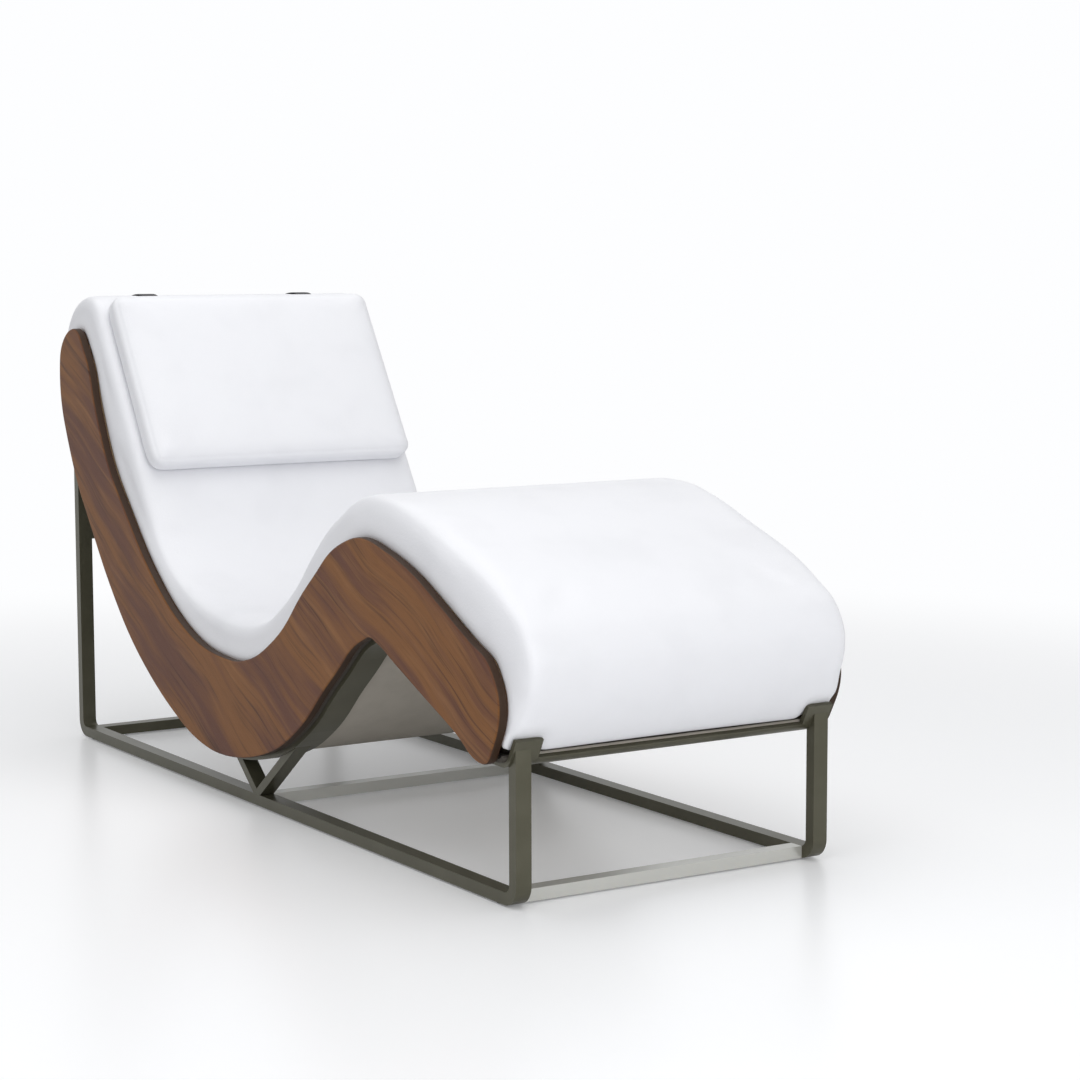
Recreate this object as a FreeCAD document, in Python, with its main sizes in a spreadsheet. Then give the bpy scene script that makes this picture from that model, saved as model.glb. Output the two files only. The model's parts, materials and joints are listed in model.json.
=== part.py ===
# Spa relaxation lounger: a walnut-sided body on two bent steel side loops, a leather pad over it,
# and a headrest that slides on the backrest against a counterweight hung on two straps.
# X runs across, Y from the foot end to the head end, Z up, in millimetres. Outlines are drawn in
# the side plane with Y = 0 at the front of the front legs; every piece is then moved back by half
# of the lounger's reach, so that the origin lies on the floor under the middle of the lounger.
import FreeCAD, Part
import math
import os
import Sketcher
from FreeCAD import Rotation, Vector

doc = FreeCAD.newDocument("lounger")

# Driving sizes, in millimetres. Stations are measured along Y, heights along Z.
SIZES = {
    # steel side loops and cross bars
    "frame_width": 600, "frame_length": 1718, "bar_width": 28, "bar_depth": 20,
    "corner_radius": 34, "leg_rise": 41, "post_drop": 155,
    "front_bar_station": 30, "rear_bar_inset": 58, "post_bar_height": 411, "post_bar_depth": 22,
    "brace_inset": 97, "front_brace_angle": 37, "rear_brace_angle": 39, "brace_depth": 16,
    "glide_height": 3, "glide_radius": 10, "glide_inset": 60,
    # steel strips under the shell
    "strip_inset": 7, "strip_width": 50, "strip_thickness": 8, "strip_proud": 6,
    "strip_bend_station": 14, "strip_bend_rise": 13, "strip_lip_reach": 2, "strip_lip_drop": 1.3,
    "strip_tuck_reach": 6, "strip_tuck_rise": 3, "strip_top_reach": 24, "strip_top_drop": 33,
    # walnut side panels
    "panel_clearance": 12, "panel_thickness": 17, "panel_edge_radius": 4,
    "nose_height": 312, "tuck_station": 52, "tuck_height": 221, "knee_height": 533,
    "seat_height": 265, "tip_inset": 78, "tip_height": 845, "rear_inset": 4, "rear_drop": 100,
    "under_knee_height": 371, "belly_height": 84,
    # inner board, ribs and their fixings
    "seat_gap": 0.3, "pad_recess": 8, "deck_thickness": 12, "underside_thickness": 6,
    "underside_top_reach": 27, "rib_thickness": 26, "rib_reach": 250,
    "head_rail_inset": 36, "head_rail_depth": 84, "head_rail_drop": 75, "head_rail_rise": 42,
    "dowel_radius": 4, "dowel_length": 40, "dowel_in_panel": 10,
    "screw_radius": 3, "screw_head_radius": 6, "screw_head_height": 3, "screw_length": 40,
    # leather pad
    "pad_side_gap": 0.5, "pad_edge_radius": 24, "pad_lip_reach": 10, "pad_nose_reach": 49,
    "pad_nose_rise": 63, "pad_knee_reach": 10, "pad_knee_rise": 67, "pad_seat_reach": 15,
    "pad_seat_rise": 66, "shoulder_inset": 73, "shoulder_rise": 30, "crest_inset": 11,
    "crest_rise": 66, "roll_reach": 33, "roll_drop": 45,
    "pad_tuck_depth": 18, "pad_tuck_slant": 9,
    # headrest
    "headrest_inset": 22, "headrest_length": 388, "headrest_thickness": 52,
    "headrest_start": 100, "headrest_corner": 20, "headrest_crown": 6, "headrest_edge_radius": 16,
    "headrest_board_thickness": 6, "headrest_board_margin": 36,
    # straps and counterweight
    "strap_centre": 175, "strap_width": 36, "strap_thickness": 2,
    "weight_drop": 254, "weight_radius": 11, "weight_core_radius": 8.5,
    "weight_overhang": 4, "weight_cap_length": 4,
}
sheet = doc.addObject("Spreadsheet::Sheet", "sizes")
for row, (alias, value) in enumerate(SIZES.items(), start=1):
    sheet.set(f"A{row}", alias)
    sheet.set(f"B{row}", str(value))
    sheet.setAlias(f"B{row}", alias)
doc.recompute()


class Sizes:
    """Reads a driving size from the sheet by its alias."""

    def __getattr__(self, alias):
        return float(sheet.get(alias))


size = Sizes()
# Two ends nearer than this share of the seat gap are one point, and a bow flatter than the other
# share of it is a straight line
CLOSE_SHARE = 0.001
FLAT_SHARE = 0.00001


# Side-plane geometry: a piece is (start, middle, end, start_way, middle_way, end_way)
def at(station, height):
    return Vector(0, station, height)


def way(degrees):
    return Vector(0, math.cos(math.radians(degrees)), math.sin(math.radians(degrees)))


def left_of(direction):
    return Vector(0, -direction.z, direction.y)


def unit(vector):
    return vector * (1 / vector.Length)


def between(first, last, share_y, share_z):
    """A point placed by its shares of the step from one key point to the next."""
    return at(first.y + (last.y - first.y) * share_y, first.z + (last.z - first.z) * share_z)


def bow(start, start_way, end):
    """The arc, or the line, that leaves start along start_way and reaches end."""
    chord = end - start
    along = unit(chord)
    turn = math.atan2(along.y * start_way.z - along.z * start_way.y, along.dot(start_way))
    middle = (start + end) * 0.5 + left_of(along) * (chord.Length / 2 * math.tan(turn / 2))
    back = -2 * turn
    end_way = Vector(0, start_way.y * math.cos(back) - start_way.z * math.sin(back),
                     start_way.y * math.sin(back) + start_way.z * math.cos(back))
    return start, middle, end, start_way, along, end_way


def two_bows(start, start_way, end, end_way):
    """Two tangent arcs from one point and heading to the next."""
    step = end - start
    aim = start_way + end_way
    spread = 2 * (1 - start_way.dot(end_way))
    if abs(left_of(start_way).dot(step)) < FLAT_SHARE * step.Length and spread < FLAT_SHARE ** 2:
        return [bow(start, start_way, end)]
    if spread < FLAT_SHARE ** 2:
        reach = step.dot(step) / (4 * step.dot(end_way))
    else:
        reach = (-step.dot(aim) + math.sqrt(step.dot(aim) ** 2 + spread * step.dot(step))) / spread
    meeting = (start + end + (start_way - end_way) * reach) * 0.5
    first = bow(start, start_way, meeting)
    return [first, bow(meeting, first[5], end)]


def curve(marks):
    """A smooth chain of arcs through marks, each a point with its heading or None. A heading of
    None follows the circle through the mark and its two neighbours. Returns a list of spans."""
    headings = []
    for index, (point, heading) in enumerate(marks):
        if heading is not None:
            headings.append(way(heading))
            continue
        before = point - marks[index - 1][0]
        after = marks[index + 1][0] - point
        headings.append(unit(unit(before) * after.Length + unit(after) * before.Length))
    return [two_bows(marks[index][0], headings[index], marks[index + 1][0], headings[index + 1])
            for index in range(len(marks) - 1)]


def joined(spans):
    return [piece for span in spans for piece in span]


def shifted(pieces, distance):
    """The same pieces moved sideways, to the left of their heading for a positive distance."""
    return [tuple(piece[side] + left_of(piece[side + 3]) * distance for side in range(3)) + piece[3:]
            for piece in pieces]


def turned_round(pieces):
    return [(end, middle, start, last * -1, along * -1, first * -1)
            for start, middle, end, first, along, last in reversed(pieces)]


def edges_of(pieces):
    edges = []
    for start, middle, end, first, along, last in pieces:
        if abs(left_of(along).dot(middle - start)) < size.seat_gap * FLAT_SHARE:
            edges.append(Part.LineSegment(start, end).toShape())
        else:
            edges.append(Part.Arc(start, middle, end).toShape())
    return edges


def region(*chains):
    """The closed face that runs along the chains in order, joined by straight lines."""
    edges = []
    last_end = chains[-1][-1][2]
    for pieces in chains:
        if (pieces[0][0] - last_end).Length > size.seat_gap * CLOSE_SHARE:
            edges.append(Part.LineSegment(last_end, pieces[0][0]).toShape())
        edges += edges_of(pieces)
        last_end = pieces[-1][2]
    return Part.Face(Part.Wire(edges))


def band(pieces, near, far):
    """The strip of the side plane between two sideways shifts of a chain."""
    return region(shifted(pieces, near), turned_round(shifted(pieces, far)))


def across(face, left, right):
    """A side-plane face carried across the lounger from X = left to X = right."""
    solid = face.copy()
    solid.translate(Vector(left, 0, 0))
    return solid.extrude(Vector(right - left, 0, 0))


def edges_along(solid, pieces):
    """The solid's two side edges that run along a chain."""
    found = []
    for edge in solid.Edges:
        if edge.BoundBox.XLength < size.seat_gap:
            spot = edge.valueAt((edge.FirstParameter + edge.LastParameter) / 2)
            spot.x = 0
            if min((spot - piece[1]).Length for piece in pieces) < size.seat_gap:
                found.append(edge)
    return found


def polygon(*points):
    return Part.Face(Part.makePolygon(list(points) + [points[0]]))


def rod(radius, centre, direction, length):
    return Part.makeCylinder(radius, length, centre, direction)


# Main curves of the side plane. The outline's long stations are shares of the shell's reach
KNEE_SHARE = 0.2509
SEAT_SHARE = 0.5426
UNDER_KNEE_SHARE = 0.2363
BELLY_SHARE = 0.5747
shell_reach = size.frame_length - size.rear_inset
NOSE = at(0, size.nose_height)
TUCK = at(size.tuck_station, size.tuck_height)
KNEE = at(shell_reach * KNEE_SHARE, size.knee_height)
SEAT = at(shell_reach * SEAT_SHARE, size.seat_height)
TIP = at(shell_reach - size.tip_inset, size.tip_height)
REAR = at(shell_reach, size.tip_height - size.rear_drop)
UNDER_KNEE = at(shell_reach * UNDER_KNEE_SHARE, size.under_knee_height)
BELLY = at(shell_reach * BELLY_SHARE, size.belly_height)

LIP_SHARES = (0.73, 0.45)
SHIN_SHARES = [(0.065, 0.28), (0.223, 0.439), (0.80, 0.928)]
THIGH_SHARES = [(0.17, 0.078), (0.38, 0.354), (0.644, 0.772), (0.84, 0.951)]
BACK_SHARES = [(0.22, 0.033), (0.337, 0.091), (0.503, 0.224), (0.659, 0.402), (0.765, 0.541),
               (0.847, 0.721), (0.912, 0.905)]
CALF_SHARES = [(0.258, 0.27), (0.496, 0.51), (0.742, 0.76), (0.93, 0.955)]
UNDER_THIGH_SHARES = [(0.047, 0.031), (0.238, 0.316), (0.457, 0.684), (0.578, 0.823),
                      (0.728, 0.927)]
UNDER_BACK_SHARES = [(0.15, 0.023), (0.265, 0.07), (0.417, 0.156), (0.538, 0.247),
                     (0.679, 0.395), (0.789, 0.54), (0.912, 0.722)]
SHOULDER_SHARES = (0.22, 0.70)


def marks_between(first, last, shares):
    return [(between(first, last, *share), None) for share in shares]


# Upper edge of the walnut, from the tuck under the nose over the knee and seat to the tip
upper_marks = ([(TUCK, 180), (between(TUCK, NOSE, *LIP_SHARES), None), (NOSE, 90)]
               + marks_between(NOSE, KNEE, SHIN_SHARES) + [(KNEE, 0)]
               + marks_between(KNEE, SEAT, THIGH_SHARES) + [(SEAT, 0)]
               + marks_between(SEAT, TIP, BACK_SHARES) + [(TIP, 0)])
# Lower edge, from the tuck along the underside to the rear and round to the tip
lower_marks = ([(TUCK, 0)] + marks_between(TUCK, UNDER_KNEE, CALF_SHARES) + [(UNDER_KNEE, 0)]
               + marks_between(UNDER_KNEE, BELLY, UNDER_THIGH_SHARES) + [(BELLY, 0)]
               + marks_between(BELLY, REAR, UNDER_BACK_SHARES) + [(REAR, 90)]
               + marks_between(REAR, TIP, [SHOULDER_SHARES]) + [(TIP, 180)])
upper = curve(upper_marks)
lower = curve(lower_marks)
# The deck leaves out the first span, round the tuck, and the last one, over the tip
deck_line = joined(upper[1:-1])
upper_line = joined(upper)
lip = shifted(deck_line, -size.pad_recess)[0][0]

# Line of the steel strips: it follows the underside up to the rear, runs on straight behind the
# shoulders and bends up in front of the nose
strip_marks = [
    (at(-size.strip_lip_reach, lip.z - size.strip_lip_drop), None),
    (at(size.strip_bend_station, size.tuck_height + size.strip_bend_rise), None),
    (TUCK + at(size.strip_tuck_reach, size.strip_tuck_rise), None)] + lower_marks[1:-3] + [
    (REAR + at(size.strip_top_reach, -size.strip_top_drop), None)]
lip_rise = strip_marks[1][0] - strip_marks[0][0]
LIP_HEADING = math.degrees(math.atan2(lip_rise.z, lip_rise.y))
strip_marks[0] = (strip_marks[0][0], LIP_HEADING)
strip_marks[1] = (strip_marks[1][0], LIP_HEADING)
back_rise = strip_marks[-1][0] - strip_marks[-2][0]
BACK_HEADING = math.degrees(math.atan2(back_rise.z, back_rise.y))
strip_marks[-2] = (strip_marks[-2][0], BACK_HEADING)
strip_marks[-1] = (strip_marks[-1][0], BACK_HEADING)
strip_spans = curve(strip_marks)
strip_line = joined(strip_spans)
strip_inner = size.strip_thickness - size.strip_proud
underside_near = strip_inner + size.seat_gap
underside_far = underside_near + size.underside_thickness
underside_end = (REAR + at(size.underside_top_reach, -size.seat_gap), 90)
underside_line = joined(curve(strip_marks[1:] + [underside_end]))

# Face of the pad, from its lip under the nose over the knee, seat and backrest round the head roll
PAD_NOSE = NOSE + at(-size.pad_nose_reach, size.pad_nose_rise)
PAD_KNEE = KNEE + at(size.pad_knee_reach, size.pad_knee_rise)
PAD_SEAT = SEAT + at(size.pad_seat_reach, size.pad_seat_rise)
SHOULDER = TIP + at(-size.shoulder_inset, size.shoulder_rise)
CREST = TIP + at(-size.crest_inset, size.crest_rise)
ROLL = at(REAR.y + size.roll_reach, TIP.z - size.roll_drop)
LUMBAR_SHARES = (0.6037, 0.2785)
LUMBAR = between(PAD_SEAT, SHOULDER, *LUMBAR_SHARES)
PAD_LIP_ANGLE = 125
PAD_LIP = at(-size.pad_lip_reach, lip.z)
PAD_TUCK_SHARES = (0.9, 0.9)
PAD_TUCK = between(PAD_LIP, strip_marks[1][0], *PAD_TUCK_SHARES)
PAD_SHIN_SHARES = [(0.043, 0.235), (0.147, 0.422), (0.507, 0.773), (0.806, 0.969)]
PAD_THIGH_SHARES = [(0.208, 0.115), (0.335, 0.249), (0.444, 0.42), (0.558, 0.632),
                    (0.687, 0.814), (0.814, 0.944)]
slope = unit(SHOULDER - LUMBAR)
SLOPE_HEADING = math.degrees(math.atan2(slope.z, slope.y))
pad_marks = ([(PAD_LIP, PAD_LIP_ANGLE), (PAD_NOSE, 90)]
             + marks_between(PAD_NOSE, PAD_KNEE, PAD_SHIN_SHARES) + [(PAD_KNEE, 0)]
             + marks_between(PAD_KNEE, PAD_SEAT, PAD_THIGH_SHARES) + [(PAD_SEAT, 0)]
             + [(LUMBAR, SLOPE_HEADING), (SHOULDER, SLOPE_HEADING), (CREST, 0), (ROLL, -90),
                (at(ROLL.y, REAR.z), -90)])
pad_spans = curve(pad_marks)
# The last three spans run from the shoulder to the crest, to the roll and down to the hem
crest_spans = pad_spans[-3:-1]

# Middle of the lounger's reach, which every piece is moved back by
weight_station = ROLL.y + size.seat_gap + size.strap_thickness / 2
loop_radius = size.weight_radius + size.seat_gap + size.strap_thickness
middle = (weight_station + loop_radius - size.pad_nose_reach) / 2
MIDDLE = ("(sizes.frame_length - sizes.rear_inset + sizes.roll_reach + 2 * sizes.seat_gap"
          " + 1.5 * sizes.strap_thickness + sizes.weight_radius - sizes.pad_nose_reach) / 2")
made = []


def add_shape(name, shape):
    """Adds one node from a shape drawn at its station, and moves it back by the middle."""
    node = doc.addObject("Part::Feature", name)
    node.Label = name
    node.Shape = shape
    node.Placement = FreeCAD.Placement(Vector(0, -middle, 0), Rotation())
    made.append(node)
    return node


def add_cross_bar(name, length, depth, height, station, bottom):
    """A straight bar across the lounger, centred on X: a padded rectangle in its own body.
    Every argument is an expression on the sheet."""
    body = doc.addObject("PartDesign::Body", name)
    body.Label = name
    plane = [item for item in body.Origin.OriginFeatures if item.Role == "YZ_Plane"][0]
    sketch = body.newObject("Sketcher::SketchObject", name + "_section")
    sketch.AttachmentSupport = (plane, [""])
    sketch.MapMode = "FlatFace"
    corners = [Vector(0, 0, 0), Vector(1, 0, 0), Vector(1, 1, 0), Vector(0, 1, 0)]
    for index, corner in enumerate(corners):
        sketch.addGeometry(Part.LineSegment(corner, corners[(index + 1) % 4]), False)
    for index in range(4):
        sketch.addConstraint(Sketcher.Constraint("Coincident", index, 2, (index + 1) % 4, 1))
    for index, direction in enumerate(("Horizontal", "Vertical") * 2):
        sketch.addConstraint(Sketcher.Constraint(direction, index))
    sketch.addConstraint(Sketcher.Constraint("Coincident", 0, 1, -1, 1))
    wide = sketch.addConstraint(Sketcher.Constraint("DistanceX", 0, 1, 0, 2, 1.0))
    tall = sketch.addConstraint(Sketcher.Constraint("DistanceY", 1, 1, 1, 2, 1.0))
    sketch.setExpression(f"Constraints[{wide}]", depth)
    sketch.setExpression(f"Constraints[{tall}]", height)
    pad = body.newObject("PartDesign::Pad", name + "_pad")
    pad.Profile = sketch
    pad.SideType = "Symmetric"
    pad.setExpression("Length", length)
    body.setExpression("Placement.Base.y", f"{station} - {MIDDLE}")
    body.setExpression("Placement.Base.z", bottom)
    made.append(body)
    return body


def mirrored_pair(name, solid):
    """The same solid on the right and, mirrored, on the left."""
    add_shape(name + "_right", solid)
    add_shape(name + "_left", solid.mirror(Vector(0, 0, 0), Vector(1, 0, 0)))


# Steel side loops: leg, floor rail and post in one bent bar
bar_inner = size.frame_width / 2 - size.bar_width
bar_outer = size.frame_width / 2
floor_line = size.glide_height
loop_line = joined(curve([
    (at(0, TUCK.z + size.leg_rise), -90), (at(0, floor_line + size.corner_radius), -90),
    (at(size.corner_radius, floor_line), 0),
    (at(size.frame_length - size.corner_radius, floor_line), 0),
    (at(size.frame_length, floor_line + size.corner_radius), 90),
    (at(size.frame_length, TIP.z - size.post_drop), 90)]))
above_strips = across(band(strip_line, -size.strip_proud, strip_inner + size.corner_radius),
                      bar_inner - size.bar_width, bar_outer + size.bar_width)
side_loop = across(band(loop_line, 0, size.bar_depth), bar_inner, bar_outer).cut(above_strips)
side_loop = max(side_loop.Solids, key=lambda solid: solid.Volume)
mirrored_pair("side_loop", side_loop)

# Cross bars between the loops. The middle one lies under the foot of the braces
between_loops = "sizes.frame_width - 2 * sizes.bar_width"
brace_station = f"(sizes.frame_length - sizes.rear_inset) * {BELLY_SHARE} - sizes.brace_inset"
for name, station in (("front_floor_bar", "sizes.front_bar_station"),
                      ("middle_floor_bar", f"{brace_station} - sizes.bar_width / 2"),
                      ("rear_floor_bar", "sizes.frame_length - sizes.rear_bar_inset")):
    add_cross_bar(name, between_loops, "sizes.bar_width", "sizes.bar_depth", station,
                  "sizes.glide_height")
add_cross_bar("post_bar", between_loops, "sizes.bar_depth", "sizes.post_bar_depth",
              "sizes.frame_length - sizes.bar_depth", "sizes.post_bar_height")

# V braces from the floor rail to the strips, mitred together above the rail
rail_top = floor_line + size.bar_depth
brace_foot = at(BELLY.y - size.brace_inset, rail_top)
brace_reach = UNDER_KNEE.z


def brace(angle, side):
    """One arm of the V: side is 1 for the rear arm and -1 for the front arm."""
    lean = Vector(0, side * math.cos(math.radians(angle)), math.sin(math.radians(angle)))
    half = left_of(lean) * (size.brace_depth / 2)
    base = brace_foot - lean * size.brace_depth
    top = brace_foot + lean * brace_reach
    arm = across(polygon(base + half, top + half, top - half, base - half), bar_inner, bar_outer)
    keep = polygon(brace_foot, brace_foot + Vector(0, side * brace_reach, 0),
                   brace_foot + Vector(0, side * brace_reach, brace_reach),
                   brace_foot + Vector(0, 0, brace_reach))
    arm = arm.common(across(keep, bar_inner, bar_outer)).cut(above_strips)
    return min(arm.Solids, key=lambda solid: solid.CenterOfMass.z)


mirrored_pair("rear_brace", brace(size.rear_brace_angle, 1))
mirrored_pair("front_brace", brace(size.front_brace_angle, -1))

# Floor glides under the four corners of the rails
bar_centre = (bar_inner + bar_outer) / 2
add_shape("floor_glides", Part.makeCompound([
    rod(size.glide_radius, Vector(side * bar_centre, station, 0), Vector(0, 0, 1),
        size.glide_height)
    for side in (-1, 1)
    for station in (size.glide_inset, size.frame_length - size.glide_inset)]))

# Ribs between deck and underside, square to the middle of an arc in every second span of its line
deck_near = -(size.pad_recess + size.seat_gap)
deck_far = deck_near - size.deck_thickness
panel_inner = bar_outer + size.panel_clearance
panel_outer = panel_inner + size.panel_thickness
rib_half = panel_inner - size.seat_gap
core = region(shifted(deck_line, deck_far - size.seat_gap),
              turned_round(shifted(joined(strip_spans[1:]), underside_far + size.seat_gap)))
RIB_NAMES = ("nose_rib", "shin_rib", "knee_rib", "thigh_rib", "front_seat_rib", "seat_rib",
             "hip_rib", "lumbar_rib", "back_rib")
ribs = {}
rib_axes = []
for name, span in zip(RIB_NAMES, strip_spans[3::2]):
    foot, along = span[0][1], span[0][4]
    up = left_of(along)
    half = along * (size.rib_thickness / 2)
    slab = polygon(foot - half, foot + half, foot + half + up * size.rib_reach,
                   foot - half + up * size.rib_reach)
    profile = max(slab.common(core).Faces, key=lambda face: face.Area)
    ribs[name] = across(profile, -rib_half, rib_half)
    rib_axes.append((foot, up))

# Head rail inside the shoulders, cut to the pad's inner line with a gap
shoulder_line = (shifted(joined(lower[-2:]), -deck_near)
                 + turned_round(shifted(joined(upper[-3:]), deck_near)))
rail_corner = TIP - at(size.head_rail_inset, size.head_rail_drop)
head_rail = Part.makeBox(2 * rib_half, size.head_rail_depth, size.head_rail_rise,
                         rail_corner - Vector(rib_half, 0, 0))
shoulders = across(region(shoulder_line), -rib_half, rib_half)
ribs["head_rail"] = head_rail.common(shoulders).Solids[0]

# Dowels from the ribs' ends into the side panels, and the screws that hold the strips
dowel_start = panel_inner + size.dowel_in_panel
dowel_spots = [Vector(0, rib.CenterOfMass.y, rib.CenterOfMass.z) for rib in ribs.values()]


def cross_rods(spots, radius, length, end):
    """Rods along X at each spot, on both sides, whose outer ends lie at X = end."""
    return [rod(radius, spot + Vector(side * end, 0, 0), Vector(-side, 0, 0), length)
            for spot in spots for side in (-1, 1)]


def screw(foot, up, radius_gap, length):
    """A countersunk screw whose head is flush with the strip's outer face."""
    seat = foot - up * size.strip_proud
    head = Part.makeCone(size.screw_head_radius + radius_gap, size.screw_radius + radius_gap,
                         size.screw_head_height, seat, up)
    return head.fuse(rod(size.screw_radius + radius_gap, seat, up, length)).removeSplitter()


strip_centre = bar_centre - size.strip_inset
screw_spots = [(foot + Vector(side * strip_centre, 0, 0), up)
               for foot, up in rib_axes for side in (-1, 1)]
screws = [screw(foot, up, 0, size.screw_length) for foot, up in screw_spots]
screw_holes = [screw(foot, up, size.seat_gap, size.screw_length + size.seat_gap)
               for foot, up in screw_spots]
dowels = cross_rods(dowel_spots, size.dowel_radius, size.dowel_length, dowel_start)
dowel_holes = cross_rods(dowel_spots, size.dowel_radius + size.seat_gap,
                         size.dowel_length + 2 * size.seat_gap, dowel_start + size.seat_gap)
for name, rib in ribs.items():
    add_shape(name, rib.cut(screw_holes + dowel_holes))
add_shape("rib_dowels", Part.makeCompound(dowels))
add_shape("strip_screws", Part.makeCompound(screws))

# Steel strips along the underside, and the short one that joins them under the nose
strip_face = band(strip_line, -size.strip_proud, strip_inner)
strip_left = strip_centre - size.strip_width / 2
strip_right = strip_centre + size.strip_width / 2
mirrored_pair("shell_strip", across(strip_face, strip_left, strip_right).cut(screw_holes))
nose_strip = band(joined(strip_spans[1:2]), -size.strip_proud, strip_inner)
add_shape("nose_strip", across(nose_strip, -strip_left + size.seat_gap, strip_left - size.seat_gap))

# Walnut side panels, with eased edges
panel_face = region(upper_line, turned_round(joined(lower)))
panel = across(panel_face, panel_inner, panel_outer)
outline_edges = [edge for edge in panel.Edges
                 if abs(edge.BoundBox.XLength) < size.seat_gap]
panel = panel.makeFillet(size.panel_edge_radius, outline_edges).cut(dowel_holes)
mirrored_pair("walnut_panel", panel)

# Bent plywood deck under the pad and the thin upholstered underside
add_shape("deck_board", across(band(deck_line, deck_near, deck_far), -rib_half, rib_half))
underside = across(band(underside_line, underside_near, underside_far), -rib_half, rib_half)
add_shape("underside_panel", underside.cut(screw_holes))

# Leather pad: its face and its recessed inner line over the deck and the tip
pad_inner = (shifted(joined(lower[-2:]), size.pad_recess)
             + turned_round(shifted(joined(upper[1:]), -size.pad_recess)))
pad_face_line = joined(pad_spans)
pad_half_width = panel_inner - size.pad_side_gap
pad_block = across(region(pad_face_line, pad_inner), -pad_half_width, pad_half_width)
pad_block = pad_block.makeFillet(size.pad_edge_radius, edges_along(pad_block, pad_face_line))
# Between the strips the cover tucks in under the nose, down to the nose strip
pad_tuck = polygon(PAD_LIP, PAD_TUCK, PAD_TUCK + at(size.pad_tuck_depth, size.pad_tuck_slant), lip)
tuck_half = strip_left - size.seat_gap
add_shape("seat_pad", pad_block.fuse(across(pad_tuck, -tuck_half, tuck_half)).removeSplitter())

# Headrest cushion: a flat back on the backrest line, rounded shoulders and a crowned front
outward = left_of(slope)
headrest_foot = LUMBAR + slope * size.headrest_start + outward * size.seat_gap
side_rise = size.headrest_thickness - size.headrest_crown
front_length = size.headrest_length - 2 * size.headrest_corner
CROWN_HEADING = 2 * math.degrees(math.atan2(2 * size.headrest_crown, front_length))


def on_headrest(along, rise):
    return headrest_foot + slope * along + outward * rise


headrest_line = joined(curve([
    (on_headrest(0, 0), SLOPE_HEADING + 90),
    (on_headrest(0, side_rise - size.headrest_corner), SLOPE_HEADING + 90),
    (on_headrest(size.headrest_corner, side_rise), SLOPE_HEADING + CROWN_HEADING),
    (on_headrest(size.headrest_length - size.headrest_corner, side_rise),
     SLOPE_HEADING - CROWN_HEADING),
    (on_headrest(size.headrest_length, side_rise - size.headrest_corner), SLOPE_HEADING - 90),
    (on_headrest(size.headrest_length, 0), SLOPE_HEADING - 90)]))
headrest_half_width = pad_half_width - size.headrest_inset
cushion = across(region(headrest_line), -headrest_half_width, headrest_half_width)
cushion = cushion.makeFillet(size.headrest_edge_radius, edges_along(cushion, headrest_line))


def back_board(margin, thickness):
    """A board let into the headrest's flat back, margin in from its edges."""
    low = headrest_foot + slope * margin
    high = headrest_foot + slope * (size.headrest_length - margin)
    half = headrest_half_width - margin
    return across(polygon(low, high, high + outward * thickness, low + outward * thickness),
                  -half, half)


board = back_board(size.headrest_board_margin, size.headrest_board_thickness)
pocket = back_board(size.headrest_board_margin - size.seat_gap,
                    size.headrest_board_thickness + size.seat_gap)
add_shape("headrest_cushion", cushion.cut(pocket))
add_shape("headrest_board", board)


# Straps: a short stretch from the headrest's top seam, the stretch over the head roll and the
# stretch that hangs to the counterweight. The first arc beyond the shoulder is left free
strap_near = size.seat_gap
strap_far = size.seat_gap + size.strap_thickness
crest_pieces = joined(crest_spans)[1:]
strap_low = size.strap_centre - size.strap_width / 2
strap_high = size.strap_centre + size.strap_width / 2
mirrored_pair("strap_crest", across(band(crest_pieces, strap_near, strap_far),
                                    strap_low, strap_high))
headrest_top = headrest_foot + slope * (size.headrest_length + size.seat_gap)
crest_start = shifted(crest_pieces[:1], strap_near)[0][0]
crest_start_top = shifted(crest_pieces[:1], strap_far)[0][0]
step_back = unit(headrest_top - crest_start) * size.seat_gap
strap_tab = polygon(headrest_top + outward * size.seat_gap,
                    headrest_top + outward * strap_far,
                    crest_start_top + step_back, crest_start + step_back)
mirrored_pair("strap_tab", across(strap_tab, strap_low, strap_high))
drop_top = ROLL.z - size.seat_gap
weight_height = TIP.z - size.weight_drop
drop_bottom = weight_height + loop_radius + size.seat_gap
mirrored_pair("strap_drop", Part.makeBox(
    size.strap_width, size.strap_thickness, drop_top - drop_bottom,
    Vector(strap_low, ROLL.y + size.seat_gap, drop_bottom)))


# Counterweight: a steel core in a sleeve, two end discs and the straps' loops round it
def cross_tube(outer, inner, left, right):
    centre = Vector(left, weight_station, weight_height)
    tube = rod(outer, centre, Vector(1, 0, 0), right - left)
    if inner:
        tube = tube.cut(rod(inner, centre, Vector(1, 0, 0), right - left))
    return tube


weight_half_length = strap_high + size.weight_overhang
core_half = weight_half_length - size.weight_cap_length
mirrored_pair("strap_loop", cross_tube(loop_radius, size.weight_radius + size.seat_gap,
                                       strap_low, strap_high))
add_shape("weight_core", cross_tube(size.weight_core_radius, 0, -core_half, core_half))
add_shape("weight_sleeve", cross_tube(size.weight_radius, size.weight_core_radius + size.seat_gap,
                                      -core_half, core_half))
add_shape("weight_end_discs", Part.makeCompound([
    cross_tube(size.weight_radius, 0, core_half + size.seat_gap, weight_half_length),
    cross_tube(size.weight_radius, 0, -weight_half_length, -core_half - size.seat_gap)]))

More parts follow.
